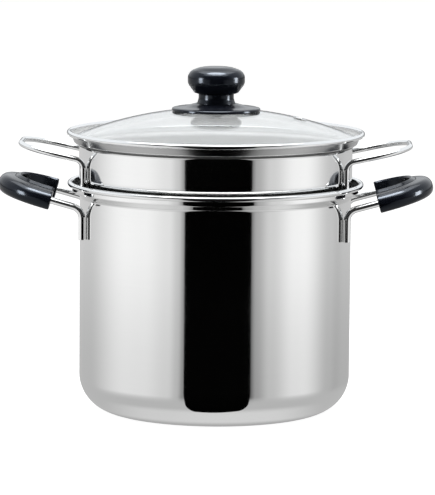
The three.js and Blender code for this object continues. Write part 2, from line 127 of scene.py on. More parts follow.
def buffingGroup():
    # fine rings left by a polishing wheel on turned sheet, plus the slight wave of thin metal
    group, nodes, given, result = startGroup(
        "buffingMarks",
        [("Vector", "NodeSocketVector", None), ("Around", "NodeSocketFloat", 3.0),
         ("Across", "NodeSocketFloat", 2600.0), ("Wave", "NodeSocketFloat", 9.0)],
        [("Rings", "NodeSocketFloat"), ("Waves", "NodeSocketFloat")])
    links = group.links
    flat = nodes.new("ShaderNodeVectorMath")
    flat.operation = "MULTIPLY"
    flat.inputs[1].default_value = (1.0, 1.0, 0.0)
    links.new(given.outputs["Vector"], flat.inputs[0])
    length = nodes.new("ShaderNodeVectorMath")
    length.operation = "LENGTH"
    links.new(flat.outputs["Vector"], length.inputs[0])
    compass = nodes.new("ShaderNodeVectorMath")
    compass.operation = "NORMALIZE"
    links.new(flat.outputs["Vector"], compass.inputs[0])
    pace = nodes.new("ShaderNodeVectorMath")
    pace.operation = "SCALE"
    links.new(compass.outputs["Vector"], pace.inputs[0])
    links.new(given.outputs["Around"], pace.inputs["Scale"])
    split = nodes.new("ShaderNodeSeparateXYZ")
    links.new(given.outputs["Vector"], split.inputs[0])
    climb = mathNode(nodes, links, "ADD", split.outputs["Z"], length.outputs["Value"])
    fine = mathNode(nodes, links, "MULTIPLY", climb, given.outputs["Across"])
    lift = nodes.new("ShaderNodeCombineXYZ")
    links.new(fine, lift.inputs["Z"])
    place = nodes.new("ShaderNodeVectorMath")
    links.new(pace.outputs["Vector"], place.inputs[0])
    links.new(lift.outputs["Vector"], place.inputs[1])
    links.new(noiseNode(nodes, links, place.outputs["Vector"], 1.0, 3.0), result.inputs["Rings"])
    waves = noiseNode(nodes, links, given.outputs["Vector"], given.outputs["Wave"], 1.0)
    links.new(waves, result.inputs["Waves"])
    return group


def handledGroup():
    # soft uneven haze from wiping and handling
    group, nodes, given, result = startGroup(
        "handledHaze",
        [("Vector", "NodeSocketVector", None), ("Size", "NodeSocketFloat", 18.0),
         ("Clean", "NodeSocketFloat", 0.05), ("Dull", "NodeSocketFloat", 0.09)],
        [("Roughness", "NodeSocketFloat")])
    links = group.links
    broad = noiseNode(nodes, links, given.outputs["Vector"], given.outputs["Size"], 4.0, 0.6)
    haze = spread(nodes, links, broad, given.outputs["Clean"], given.outputs["Dull"])
    links.new(haze, result.inputs["Roughness"])
    return group


def grainGroup():
    # close mottle of a moulded or cast surface
    group, nodes, given, result = startGroup(
        "mouldGrain",
        [("Vector", "NodeSocketVector", None), ("Size", "NodeSocketFloat", 700.0)],
        [("Fleck", "NodeSocketFloat"), ("Peel", "NodeSocketFloat")])
    links = group.links
    fleck = noiseNode(nodes, links, given.outputs["Vector"], given.outputs["Size"], 3.0, 0.6)
    links.new(spread(nodes, links, fleck, 0.0, 1.0), result.inputs["Fleck"])
    half = mathNode(nodes, links, "MULTIPLY", given.outputs["Size"], 0.45)
    links.new(noiseNode(nodes, links, given.outputs["Vector"], half, 1.0), result.inputs["Peel"])
    return group


buffing = buffingGroup()
handled = handledGroup()
grain = grainGroup()


def startMaterial(name):
    material = bpy.data.materials.new(name)
    material.use_nodes = True
    tree = material.node_tree
    return material, tree.nodes, tree.links, tree.nodes["Principled BSDF"]


def placeGroup(nodes, links, group, vector, **values):
    node = nodes.new("ShaderNodeGroup")
    node.node_tree = group
    links.new(vector, node.inputs["Vector"])
    for label, value in values.items():
        node.inputs[label].default_value = value
    return node


def bumpNode(nodes, links, height, strength, distance, base=None):
    node = nodes.new("ShaderNodeBump")
    node.inputs["Strength"].default_value = strength
    node.inputs["Distance"].default_value = distance
    links.new(height, node.inputs["Height"])
    if base is not None:
        links.new(base, node.inputs["Normal"])
    return node.outputs["Normal"]


def mixColours(nodes, links, share, first, second):
    node = nodes.new("ShaderNodeMix")
    node.data_type = "RGBA"
    node.inputs["A"].default_value = (*first, 1.0)
    node.inputs["B"].default_value = (*second, 1.0)
    links.new(share, node.inputs["Factor"])
    return node.outputs["Result"]


def easeBetween(nodes, links, value, low, high, start=0.0):
    node = nodes.new("ShaderNodeMapRange")
    node.interpolation_type = "SMOOTHSTEP"
    node.inputs["From Min"].default_value = low
    node.inputs["From Max"].default_value = high
    node.inputs["To Min"].default_value = start
    links.new(value, node.inputs["Value"])
    return node.outputs["Result"]


# the object's finishes, and the painted light and shade laid on its steel

steelLook = dict(bright=(0.92, 0.922, 0.918), soft=(0.88, 0.883, 0.882), clean=0.045, dull=0.085,
                 rings=0.06, wave=0.25)


def mirrorSteel(name, around, across, wave):
    material, nodes, links, shader = startMaterial(name)
    place = nodes.new("ShaderNodeTexCoord").outputs["Object"]
    marks = placeGroup(nodes, links, buffing, place, Around=around, Across=across, Wave=wave)
    haze = placeGroup(nodes, links, handled, place, Size=16.0,
                      Clean=steelLook["clean"], Dull=steelLook["dull"])
    links.new(mixColours(nodes, links, marks.outputs["Rings"], steelLook["bright"], steelLook["soft"]),
              shader.inputs["Base Color"])
    links.new(haze.outputs["Roughness"], shader.inputs["Roughness"])
    waves = bumpNode(nodes, links, marks.outputs["Waves"], steelLook["wave"], 0.0004)
    links.new(bumpNode(nodes, links, marks.outputs["Rings"], steelLook["rings"], 0.00002, waves),
              shader.inputs["Normal"])
    shader.inputs["Metallic"].default_value = 1.0
    return material


def satinFinish(name, bright, soft, clean, dull, metal=1.0):
    # steel with brushed rings in place of the mirror polish
    material, nodes, links, shader = startMaterial(name)
    place = nodes.new("ShaderNodeTexCoord").outputs["Object"]
    marks = placeGroup(nodes, links, buffing, place, Around=5.0, Across=5200.0, Wave=9.0)
    haze = placeGroup(nodes, links, handled, place, Size=14.0, Clean=clean, Dull=dull)
    links.new(mixColours(nodes, links, marks.outputs["Rings"], bright, soft),
              shader.inputs["Base Color"])
    links.new(haze.outputs["Roughness"], shader.inputs["Roughness"])
    links.new(bumpNode(nodes, links, marks.outputs["Rings"], 0.25, 0.00004), shader.inputs["Normal"])
    shader.inputs["Metallic"].default_value = metal
    return material


phenolicLook = dict(deep=(0.001, 0.0012, 0.002), fleck=(0.0025, 0.003, 0.005), clean=0.14, dull=0.2,
                    peel=0.03, gloss=0.28, tint=(0.76, 0.86, 1.0))


def blackPhenolic():
    material, nodes, links, shader = startMaterial("blackPhenolic")
    place = nodes.new("ShaderNodeTexCoord").outputs["Object"]
    mould = placeGroup(nodes, links, grain, place, Size=900.0)
    haze = placeGroup(nodes, links, handled, place, Size=60.0,
                      Clean=phenolicLook["clean"], Dull=phenolicLook["dull"])
    links.new(mixColours(nodes, links, mould.outputs["Fleck"], phenolicLook["deep"], phenolicLook["fleck"]),
              shader.inputs["Base Color"])
    links.new(haze.outputs["Roughness"], shader.inputs["Roughness"])
    links.new(bumpNode(nodes, links, mould.outputs["Peel"], phenolicLook["peel"], 0.0001),
              shader.inputs["Normal"])
    shader.inputs["Specular IOR Level"].default_value = phenolicLook["gloss"]
    shader.inputs["Specular Tint"].default_value = (*phenolicLook["tint"], 1.0)
    return material


glassLook = dict(tint=(0.97, 0.977, 0.98), limbShade=(0.55, 0.57, 0.57), limbFacing=(0.88, 0.98), bend=1.52,
                 absorb=(0.75, 0.9, 0.88), density=5.0, haze=0.012)


def lidGlassFinish():
    material, nodes, links, shader = startMaterial("temperedGlass")
    place = nodes.new("ShaderNodeTexCoord").outputs["Object"]
    haze = placeGroup(nodes, links, handled, place, Size=24.0, Clean=0.0, Dull=glassLook["haze"])
    links.new(haze.outputs["Roughness"], shader.inputs["Roughness"])
    # painted shade: the glass's colour turns grey where the dome is seen edge on, drawing its grey outline
    facing = nodes.new("ShaderNodeLayerWeight").outputs["Facing"]
    limbShade = easeBetween(nodes, links, facing, *glassLook["limbFacing"])
    links.new(mixColours(nodes, links, limbShade, glassLook["tint"], glassLook["limbShade"]),
              shader.inputs["Base Color"])
    shader.inputs["IOR"].default_value = glassLook["bend"]
    shader.inputs["Transmission Weight"].default_value = 1.0
    inside = nodes.new("ShaderNodeVolumeAbsorption")
    inside.inputs["Color"].default_value = (*glassLook["absorb"], 1.0)
    inside.inputs["Density"].default_value = glassLook["density"]
    links.new(inside.outputs["Volume"], nodes["Material Output"].inputs["Volume"])
    return material


siliconeLook = dict(deep=(0.5, 0.53, 0.48), fleck=(0.58, 0.61, 0.56), peel=0.2, rough=0.55, soft=0.2)


def siliconeFinish():
    material, nodes, links, shader = startMaterial("greySilicone")
    place = nodes.new("ShaderNodeTexCoord").outputs["Object"]
    mould = placeGroup(nodes, links, grain, place, Size=500.0)
    links.new(mixColours(nodes, links, mould.outputs["Fleck"], siliconeLook["deep"], siliconeLook["fleck"]),
              shader.inputs["Base Color"])
    links.new(bumpNode(nodes, links, mould.outputs["Peel"], siliconeLook["peel"], 0.0002),
              shader.inputs["Normal"])
    shader.inputs["Roughness"].default_value = siliconeLook["rough"]
    shader.inputs["Subsurface Weight"].default_value = siliconeLook["soft"]
    return material


brassLook = dict(bright=(0.72, 0.52, 0.24), soft=(0.6, 0.42, 0.18), rings=0.3, rough=0.32)


def brassFinish():
    material, nodes, links, shader = startMaterial("turnedBrass")
    place = nodes.new("ShaderNodeTexCoord").outputs["Object"]
    marks = placeGroup(nodes, links, buffing, place, Around=2.0, Across=6000.0, Wave=40.0)
    links.new(mixColours(nodes, links, marks.outputs["Rings"], brassLook["bright"], brassLook["soft"]),
              shader.inputs["Base Color"])
    links.new(bumpNode(nodes, links, marks.outputs["Rings"], brassLook["rings"], 0.00005),
              shader.inputs["Normal"])
    shader.inputs["Metallic"].default_value = 1.0
    shader.inputs["Roughness"].default_value = brassLook["rough"]
    return material


drawnSteel = mirrorSteel("drawnSteel", around=3.0, across=2600.0, wave=9.0)
rodSteel = mirrorSteel("rodSteel", around=6.0, across=900.0, wave=30.0)
# brushed steel made pale and mostly not metallic: painted light on the insides, standing in for lamp light
# that the glass holds back
paintedLightSteel = satinFinish("paintedLightSteel", bright=(0.97, 0.972, 0.968), soft=(0.93, 0.932, 0.93),
                         clean=0.5, dull=0.6, metal=0.15)
# satin steel for the basket's band, its colour darker than the other steel as painted shade
shadedBandSteel = satinFinish("shadedBandSteel", bright=(0.54, 0.542, 0.54), soft=(0.46, 0.462, 0.46),
                        clean=0.17, dull=0.24)
# a very dark copy of the satin steel: painted shade on the pot's lip and in the crease under the basket's
# band
paintedShadeSteel = satinFinish("paintedShadeSteel", bright=(0.2, 0.2, 0.195), soft=(0.14, 0.14, 0.137),
                       clean=0.36, dull=0.46)
phenolic = blackPhenolic()
glass = lidGlassFinish()
silicone = siliconeFinish()
brass = brassFinish()
print("finishes made")


# mesh helpers

# the glint lamps light these only
blackPieces = bpy.data.collections.new("blackPieces")
sharpAngle = 32.0


def finishPiece(name, bm, body, slot, material, *nodes, sharp=sharpAngle):
    bmesh.ops.remove_doubles(bm, verts=bm.verts[:], dist=1e-6)
    mesh = bpy.data.meshes.new(name)
    bm.to_mesh(mesh)
    bm.free()
    mesh.shade_smooth()
    mesh.set_sharp_from_angle(angle=math.radians(sharp))
    mesh.materials.append(material)
    piece = bpy.data.objects.new(name, mesh)
    scene.collection.objects.link(piece)
    if material is phenolic:
        blackPieces.objects.link(piece)
    even = piece.modifiers.new("evenNormals", "WEIGHTED_NORMAL")
    even.keep_sharp = True
    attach(piece, body)
    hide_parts(*nodes)
    print("piece:", name, len(mesh.polygons), "faces")
    return piece


def roundCorner(bm, corner, radius, segments):
    before, after = [edge.other_vert(corner).co - corner.co for edge in corner.link_edges]
    turn = math.pi - before.angle(after)
    bmesh.ops.bevel(bm, geom=[corner], offset=radius * math.tan(turn / 2), offset_type="OFFSET",
                    segments=segments, profile=0.5, affect="VERTICES", material=-1)


def drawLine(bm, corners, closed=False):
    # a line of (radius, height) corners; a third value rounds the corner
    verts = [bm.verts.new((corner[0], 0.0, corner[1])) for corner in corners]
    for first, second in zip(verts, verts[1:]):
        bm.edges.new((first, second))
    if closed:
        bm.edges.new((verts[-1], verts[0]))
    for vert, corner in zip(verts, corners):
        if len(corner) > 2:
            roundCorner(bm, vert, corner[2], max(4, int(corner[2] * 500) + 4))
    return verts


def curl(bm, vert, centre, degrees, steps):
    # draws an arc on from the end of a line
    made = bmesh.ops.spin(bm, geom=[vert], cent=(centre[0], 0.0, centre[1]), axis=(0.0, 1.0, 0.0),
                          angle=math.radians(degrees), steps=steps)
    return [item for item in made["geom_last"] if isinstance(item, bmesh.types.BMVert)][0]


def spinRound(bm, steps):
    bmesh.ops.spin(bm, geom=bm.verts[:] + bm.edges[:], cent=(0.0, 0.0, 0.0), axis=(0.0, 0.0, 1.0),
                   angle=math.tau, steps=steps, use_merge=True)
    bmesh.ops.remove_doubles(bm, verts=bm.verts[:], dist=1e-6)
    bmesh.ops.recalc_face_normals(bm, faces=bm.faces[:])


def thicken(bm, thickness):
    # the sheet grows inwards from the drawn face
    bmesh.ops.solidify(bm, geom=bm.faces[:], thickness=-thickness)
    bmesh.ops.recalc_face_normals(bm, faces=bm.faces[:])


dressed = dict(inwards=-0.2, upwards=0.7, outwards=0.3)


def dressFaces(piece, finish, low, high, inside=True):
    # another material between two heights, on the faces that look at the axis or up,
    # or else on those that look out; it lays the painted light and painted shade on the steel
    piece.data.materials.append(finish)
    slot = len(piece.data.materials) - 1
    for face in piece.data.polygons:
        middle = face.center
        outwards = (face.normal.x * middle.x + face.normal.y * middle.y) / math.hypot(middle.x, middle.y)
        if inside:
            chosen = outwards < dressed["inwards"] or face.normal.z > dressed["upwards"]
        else:
            chosen = outwards > dressed["outwards"]
        if low < middle.z < high and chosen:
            face.material_index = slot


def cutHoles(piece, cutters):
    # takes the cutters' space out of a finished piece
    mesh = bpy.data.meshes.new("holeCutters")
    cutters.to_mesh(mesh)
    cutters.free()
    tool = bpy.data.objects.new("holeCutters", mesh)
    scene.collection.objects.link(tool)
    cut = piece.modifiers.new("holes", "BOOLEAN")
    cut.object = tool
    cut.solver = "EXACT"
    piece.modifiers.move(len(piece.modifiers) - 1, 0)
    even = piece.modifiers["evenNormals"]
    even.show_viewport = False
    bpy.context.view_layer.update()
    whole = bpy.data.meshes.new_from_object(piece.evaluated_get(bpy.context.evaluated_depsgraph_get()))
    even.show_viewport = True
    piece.modifiers.remove(cut)
    old = piece.data
    piece.data = whole
    whole.name = piece.name
    bpy.data.objects.remove(tool)
    bpy.data.meshes.remove(mesh)
    bpy.data.meshes.remove(old)
    whole.shade_smooth()
    whole.set_sharp_from_angle(angle=math.radians(sharpAngle))


# pot and basket shells: one drawn sheet each, with the lip rolled outwards

rim = dict(flare=0.0065, shoulderRise=0.0044, bandDepth=0.0078, shoulderFillet=0.0026, bandFillet=0.0016,
           bead=0.0021, curlDegrees=305, curlSteps=20, sheet=0.0006)
potShell = dict(radius=0.1106, height=0.1887, corner=0.0305, dish=0.0008, ring=0.012, dishSlope=0.006,
                dishFillet=0.006, steps=168)


def rolledRim(bm, lower, wallRadius, top, lean, depth):
    # lean is how far the band's foot stands inside its top
    band = wallRadius + rim["flare"]
    bandBottom = top - depth
    centre = (band + rim["bead"] - rim["sheet"], top - rim["bead"])
    foot = top - rim["bandDepth"] - rim["shoulderRise"]
    corners = lower + [(wallRadius, foot, rim["shoulderFillet"]),
                       (band - lean, bandBottom, rim["bandFillet"]),
                       (band, centre[1] - rim["bead"]), (band, centre[1])]
    line = drawLine(bm, corners)
    curl(bm, line[-1], centre, rim["curlDegrees"], rim["curlSteps"])


def makePot():
    bm = bmesh.new()
    flat = potShell["radius"] - potShell["corner"]
    ring = flat - potShell["ring"]
    lower = [(0.0, potShell["dish"]),
             (ring - potShell["dishSlope"], potShell["dish"], potShell["dishFillet"]),
             (ring, 0.0, potShell["dishFillet"]),
             (potShell["radius"], 0.0, potShell["corner"])]
    rolledRim(bm, lower, potShell["radius"], potShell["height"], 0.0, rim["bandDepth"])
    spinRound(bm, potShell["steps"])
    thicken(bm, rim["sheet"])
    piece = finishPiece("potShell", bm, "pot", "polished_steel", drawnSteel, "pot_body")
    shoulder = potShell["height"] - rim["bandDepth"] - rim["shoulderRise"]
    # painted light: the inside up to the shoulder is pale
    dressFaces(piece, paintedLightSteel, 0.0, shoulder)
    # painted shade on the lip between the shoulder and the bead, on faces that look inwards or up
    dressFaces(piece, paintedShadeSteel, shoulder, potShell["height"] - rim["bead"])


makePot()

basketShell = dict(radius=0.1113, strainer=0.1065, top=0.23, bottom=0.022, corner=0.022, stepFillet=0.0012,
                   stepGap=0.0009, neck=0.1089, neckTop=0.1932, neckFillet=0.016, lean=0.0026,
                   bandDepth=0.0098, bandEdge=0.0008, creaseShade=(0.0024, 0.0009), steps=168,
                   holeRadius=0.0026, drill=0.006, rows=6, perRow=18, margin=0.016, rings=3,
                   floorMargin=0.012, perRing=6)


def basketStep(radius):
    # the step lies along the pot's shoulder, a small gap above it
    slope = math.atan2(rim["shoulderRise"], rim["flare"])
    foot = potShell["height"] - rim["bandDepth"] - rim["shoulderRise"]
    return foot + basketShell["stepGap"] / math.cos(slope) + (radius - potShell["radius"]) * math.tan(slope)


def strainerCutters():
    tool = bmesh.new()
    wall = basketShell["strainer"]
    flat = wall - basketShell["corner"]

    def bore(matrix):
        bmesh.ops.create_cone(tool, cap_ends=True, segments=20, radius1=basketShell["holeRadius"],
                              radius2=basketShell["holeRadius"], depth=basketShell["drill"], matrix=matrix)

    lowest = basketShell["bottom"] + basketShell["corner"] + basketShell["margin"]
    highest = basketStep(wall) - basketShell["margin"]
    for row in range(basketShell["rows"]):
        height = lowest + (highest - lowest) * row / (basketShell["rows"] - 1)
        for hole in range(basketShell["perRow"]):
            angle = math.radians((2 * hole + row % 2 + 0.5) * 180 / basketShell["perRow"])
            turn = Matrix.Rotation(angle, 4, "Z")
            bore(turn @ Matrix.Translation((wall, 0.0, height)) @ Matrix.Rotation(math.pi / 2, 4, "Y"))
    pitch = (flat - basketShell["floorMargin"]) / basketShell["rings"]
    for ring in range(basketShell["rings"] + 1):
        holes = max(1, ring * basketShell["perRing"])
        for hole in range(holes):
            turn = Matrix.Rotation(math.tau * hole / holes, 4, "Z")
            bore(turn @ Matrix.Translation((ring * pitch, 0.0, basketShell["bottom"])))
    return tool


def makeBasket():
    bm = bmesh.new()
    wall = basketShell["strainer"]
    lower = [(0.0, basketShell["bottom"]), (wall, basketShell["bottom"], basketShell["corner"]),
             (wall, basketStep(wall), basketShell["stepFillet"]),
             (basketShell["neck"], basketStep(basketShell["neck"]), basketShell["stepFillet"]),
             (basketShell["radius"], basketShell["neckTop"], basketShell["neckFillet"])]
    rolledRim(bm, lower, basketShell["radius"], basketShell["top"], basketShell["lean"],
              basketShell["bandDepth"])
    spinRound(bm, basketShell["steps"])
    thicken(bm, rim["sheet"])
    piece = finishPiece("basketShell", bm, "basket", "polished_steel", drawnSteel, "basket_body")
    band = basketShell["top"] - basketShell["bandDepth"]
    # painted light: the inside and the upward faces up to the bead are pale
    dressFaces(piece, paintedLightSteel, 0.0, basketShell["top"] - rim["bead"])
    low, high = basketShell["creaseShade"]
    # painted shade: the outside of the band gets the darker satin steel
    dressFaces(piece, shadedBandSteel, band + basketShell["bandEdge"], basketShell["top"] - 2 * rim["bead"],
               inside=False)
    # painted shade: a dark strip of steel in the crease just under the band
    dressFaces(piece, paintedShadeSteel, band - low, band - high, inside=False)
    cutHoles(piece, strainerCutters())


makeBasket()


# handle loops: legs up the wall, a bend, and a tilted loop

potLoop = dict(wall=0.1106, radius=0.0028, halfSpan=0.039, legEnd=0.1437, bend=0.1689, bendRadius=0.010,
               tilt=15.3, reach=0.0635, loopRadius=0.035, endRound=0.000504)
basketLoop = dict(wall=0.1113, radius=0.00225, halfSpan=0.042, legEnd=0.1833, bend=0.2083, bendRadius=0.008,
                  tilt=12.2, reach=0.0531, loopRadius=0.030, endRound=0.000405)
loopSteps = dict(round=24, bend=12, corner=14)
contactGap = 0.0003


def legDistance(loop):
    return math.sqrt((loop["wall"] + contactGap + loop["radius"]) ** 2 - loop["halfSpan"] ** 2)


def lastRing(made):
    return [item for item in made if isinstance(item, (bmesh.types.BMVert, bmesh.types.BMEdge))]


def pullRing(bm, ring, move):
    edges = [item for item in ring if isinstance(item, bmesh.types.BMEdge)]
    made = bmesh.ops.extrude_edge_only(bm, edges=edges)["geom"]
    verts = [item for item in made if isinstance(item, bmesh.types.BMVert)]
    bmesh.ops.translate(bm, vec=move, verts=verts)
    fresh = set(verts)
    edges = [item for item in made if isinstance(item, bmesh.types.BMEdge) and set(item.verts) <= fresh]
    return verts + edges


def turnRing(bm, ring, centre, axis, angle, steps):
    made = bmesh.ops.spin(bm, geom=ring, cent=centre, axis=axis, angle=angle, steps=steps)
    return lastRing(made["geom_last"])


def loopAxes(loop):
    tilt = math.radians(loop["tilt"])
    return Vector((math.cos(tilt), 0.0, math.sin(tilt))), Vector((-math.sin(tilt), 0.0, math.cos(tilt)))


def roundLoop(bm, ring, loop, start):
    # takes a ring from a straight run out round the loop's two corners and back
    out, up = loopAxes(loop)
    across = Vector((0.0, -1.0, 0.0))
    bend = Vector((legDistance(loop), 0.0, loop["bend"]))
    inner = bend + out * (loop["reach"] - loop["loopRadius"])
    straight = loop["reach"] - loop["loopRadius"] - start
    halfRun = loop["halfSpan"] - loop["loopRadius"]
    ring = pullRing(bm, ring, out * straight)
    ring = turnRing(bm, ring, inner - across * halfRun, -up, math.pi / 2, loopSteps["corner"])
    ring = pullRing(bm, ring, across * halfRun * 2)
    ring = turnRing(bm, ring, inner + across * halfRun, -up, math.pi / 2, loopSteps["corner"])
    return pullRing(bm, ring, -out * straight)


def sideTurn(bm, side):
    if side == "left":
        bmesh.ops.rotate(bm, cent=(0.0, 0.0, 0.0), matrix=Matrix.Rotation(math.pi, 3, "Z"), verts=bm.verts[:])


def capEnds(bm, width, segments=3):
    edges = [edge for edge in bm.edges if edge.is_boundary]
    bmesh.ops.holes_fill(bm, edges=edges, sides=0)
    bmesh.ops.recalc_face_normals(bm, faces=bm.faces[:])
    bmesh.ops.bevel(bm, geom=edges, offset=width, offset_type="OFFSET", segments=segments, profile=0.5,
                    affect="EDGES", material=-1)


def makeRod(name, loop, side, body, *nodes):
    bm = bmesh.new()
    turn = math.radians(90.0 - loop["tilt"])
    reach = loop["bendRadius"] * math.tan(turn / 2)
    legX = legDistance(loop)
    legPlace = Matrix.Translation((legX, loop["halfSpan"], loop["legEnd"]))
    made = bmesh.ops.create_circle(bm, radius=loop["radius"], segments=loopSteps["round"], matrix=legPlace)
    ring = made["verts"] + list({edge for vert in made["verts"] for edge in vert.link_edges})
    leg = Vector((0.0, 0.0, loop["bend"] - reach - loop["legEnd"]))
    hub = Vector((legX + loop["bendRadius"], loop["halfSpan"], loop["bend"] - reach))
    ring = pullRing(bm, ring, leg)
    ring = turnRing(bm, ring, hub, (0.0, 1.0, 0.0), turn, loopSteps["bend"])
    ring = roundLoop(bm, ring, loop, reach)
    hub.y = -loop["halfSpan"]
    ring = turnRing(bm, ring, hub, (0.0, -1.0, 0.0), turn, loopSteps["bend"])
    pullRing(bm, ring, -leg)
    capEnds(bm, loop["endRound"])
    sideTurn(bm, side)
    finishPiece(name, bm, body, "polished_steel", rodSteel, *nodes, sharp=40.0)


for side in ("left", "right"):
    makeRod("potRod." + side, potLoop, side, "pot", "pot_handle_rod_" + side)
    makeRod("basketWire." + side, basketLoop, side, "basket", "basket_handle_" + side)


# moulded grips on the pot's loops

grip = dict(stand=0.026, outside=0.009, inside=0.0084, depth=0.0078, peak=0.0102, ridge=0.0079,
            ridgeOut=-0.003, shoulder=0.0062, lowCrown=0.0068, crown=0.007, topBevel=0.0016, edge=0.0012,
            groove=0.0006, grooveRound=0.0002, peakRound=0.0008, bevelRound=0.001, endRound=0.0008)


def makeGrip(side):
    bm = bmesh.new()
    out, up = loopAxes(potLoop)
    ridge, ridgeOut, groove = grip["ridge"], grip["ridgeOut"], grip["groove"]
    corners = [(-grip["inside"], -grip["depth"], grip["edge"]),
               (grip["outside"], -grip["depth"], grip["lowCrown"]),
               (grip["outside"], grip["shoulder"], grip["crown"]),
               (ridgeOut, ridge, grip["grooveRound"]),
               (ridgeOut - groove / 2, ridge - groove),
               (ridgeOut - groove, ridge + groove / 2, grip["grooveRound"]),
               (grip["topBevel"] - grip["inside"], grip["peak"], grip["peakRound"]),
               (-grip["inside"], grip["peak"] - grip["topBevel"], grip["bevelRound"])]
    drawLine(bm, corners, closed=True)
    start = Vector((legDistance(potLoop), potLoop["halfSpan"], potLoop["bend"])) + out * grip["stand"]
    # the section is drawn on X and Z: X goes outwards along +Y, Z up the loop's own height
    frameTurn = Matrix(((0.0, -out.x, up.x), (1.0, 0.0, 0.0), (0.0, -out.z, up.z)))
    bmesh.ops.transform(bm, matrix=Matrix.Translation(start) @ frameTurn.to_4x4(), verts=bm.verts[:])
    roundLoop(bm, bm.verts[:] + bm.edges[:], potLoop, grip["stand"])
    capEnds(bm, grip["endRound"])
    sideTurn(bm, side)
    finishPiece("potGrip." + side, bm, "pot", "black_phenolic", phenolic, "pot_grip_" + side, sharp=50.0)


for side in ("left", "right"):
    makeGrip(side)


# glass lid, vent eyelet and knob

lid = dict(domeRadius=0.300, thickness=0.004, trim=0.0006, spindle=0.004, vent=0.004,
           ventReach=0.068, drill=0.02, domeSteps=26, edgeSteps=12, steps=168)
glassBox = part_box("lid_glass")
lid["top"] = glassBox[1].z
lid["centre"] = lid["top"] - lid["domeRadius"]
lid["middle"] = lid["domeRadius"] - lid["thickness"] / 2
lid["lean"] = math.asin((glassBox[1].x - lid["trim"] - lid["thickness"] / 2) / lid["middle"])


def makeGlass():
    bm = bmesh.new()
    lean = math.degrees(lid["lean"])
    edge = (lid["middle"] * math.sin(lid["lean"]), lid["centre"] + lid["middle"] * math.cos(lid["lean"]))
    apex = bm.verts.new((0.0, 0.0, lid["top"]))
    tip = curl(bm, apex, (0.0, lid["centre"]), lean, lid["domeSteps"])
    tip = curl(bm, tip, edge, 180.0, lid["edgeSteps"])
    curl(bm, tip, (0.0, lid["centre"]), -lean, lid["domeSteps"])
    spinRound(bm, lid["steps"])
    piece = finishPiece("lidGlass", bm, "lid", "lid_glass", glass, "lid_glass")
    tool = bmesh.new()
    spindlePlace = Matrix.Translation((0.0, 0.0, lid["top"]))
    for radius, place in ((lid["spindle"], spindlePlace), (lid["vent"], ventPlace())):
        bmesh.ops.create_cone(tool, cap_ends=True, segments=32, radius1=radius, radius2=radius,
                              depth=lid["drill"], matrix=place)
    cutHoles(piece, tool)


def ventPlace():
    lean = math.asin(lid["ventReach"] / lid["domeRadius"])
    hub = Matrix.Translation((0.0, 0.0, lid["centre"]))
    return hub @ Matrix.Rotation(lean, 4, "Y") @ Matrix.Translation((0.0, 0.0, lid["middle"]))


makeGlass()

eyelet = dict(bore=0.0025, tube=0.0037, flange=0.0055, sheet=0.0008, half=0.0023, soft=0.0003,
              boreRound=0.0006, steps=48)


def makeEyelet():
    bm = bmesh.new()
    high = eyelet["half"] + eyelet["sheet"]
    half, flange, soft = eyelet["half"], eyelet["flange"], eyelet["soft"]
    drawLine(bm, [(eyelet["bore"], -high, eyelet["boreRound"]), (flange, -high, soft), (flange, -half, soft),
                  (eyelet["tube"], -half), (eyelet["tube"], half),
                  (flange, half, soft), (flange, high, soft), (eyelet["bore"], high, eyelet["boreRound"])],
             closed=True)
    spinRound(bm, eyelet["steps"])
    bmesh.ops.transform(bm, matrix=ventPlace(), verts=bm.verts[:])
    finishPiece("ventEyelet", bm, "lid", "polished_steel", rodSteel, "vent_eyelet")


makeEyelet()

skirt = dict(radius=0.036, edge=0.003, seat=0.0005, footRound=0.0004, edgeRound=0.0011, fallFrom=0.0335,
             fall=0.0006, fallRound=0.004, middle=(0.025, 0.0009), middleRound=0.03,
             crest=(0.0166, 0.0033), crestRound=0.0004, crestDrop=0.0002, socket=0.0158, hub=0.011,
             hole=0.0029, under=(0.0083, 0.016, 0.025), pocket=0.0016, steps=128)
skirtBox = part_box("knob_base")


def domeHeight(radius):
    return lid["centre"] + math.sqrt(lid["domeRadius"] ** 2 - radius ** 2)


def makeSkirt():
    bm = bmesh.new()
    bottom = domeHeight(skirt["radius"]) + contactGap
    top = bottom + skirt["edge"]
    pocket = lid["top"] + skirt["pocket"]
    middle, middleRise = skirt["middle"]
    crest, crestRise = skirt["crest"]
    inner = [(skirt["hole"], skirtBox[1].z), (skirt["hole"], pocket), (skirt["under"][0], pocket)]
    under = [(radius, domeHeight(radius) + contactGap) for radius in skirt["under"]]
    outer = [(skirt["radius"], bottom, skirt["footRound"]),
             (skirt["radius"], top - skirt["fall"], skirt["edgeRound"]),
             (skirt["fallFrom"], top, skirt["fallRound"]),
             (middle, top + middleRise, skirt["middleRound"]),
             (crest, top + crestRise, skirt["crestRound"])]
    socket = [(skirt["socket"], top + crestRise - skirt["crestDrop"]), (skirt["socket"], top + skirt["seat"]),
              (skirt["hub"], top + skirt["seat"]), (skirt["hub"], skirtBox[1].z)]
    drawLine(bm, inner + under + outer + socket, closed=True)
    spinRound(bm, skirt["steps"])
    finishPiece("knobSkirt", bm, "lid", "black_phenolic", phenolic, "knob_base")


makeSkirt()

knob = dict(foot=0.0155, footRound=0.0005, waist=0.0144, sunk=0.0026, footRise=0.0062, capBottom=0.011,
            capLower=0.018, lowerRound=0.0012, capRadius=0.0233, capWidest=0.0224, below=0.004, above=0.0026,
            rebate=0.001, creaseRound=0.0006, shoulder=(0.0205, 0.029), sideRound=0.006,
            crown=(0.013, 0.0318), crownRound=0.02, flat=0.004, flatRound=0.04, steps=128)
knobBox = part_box("lid_knob")


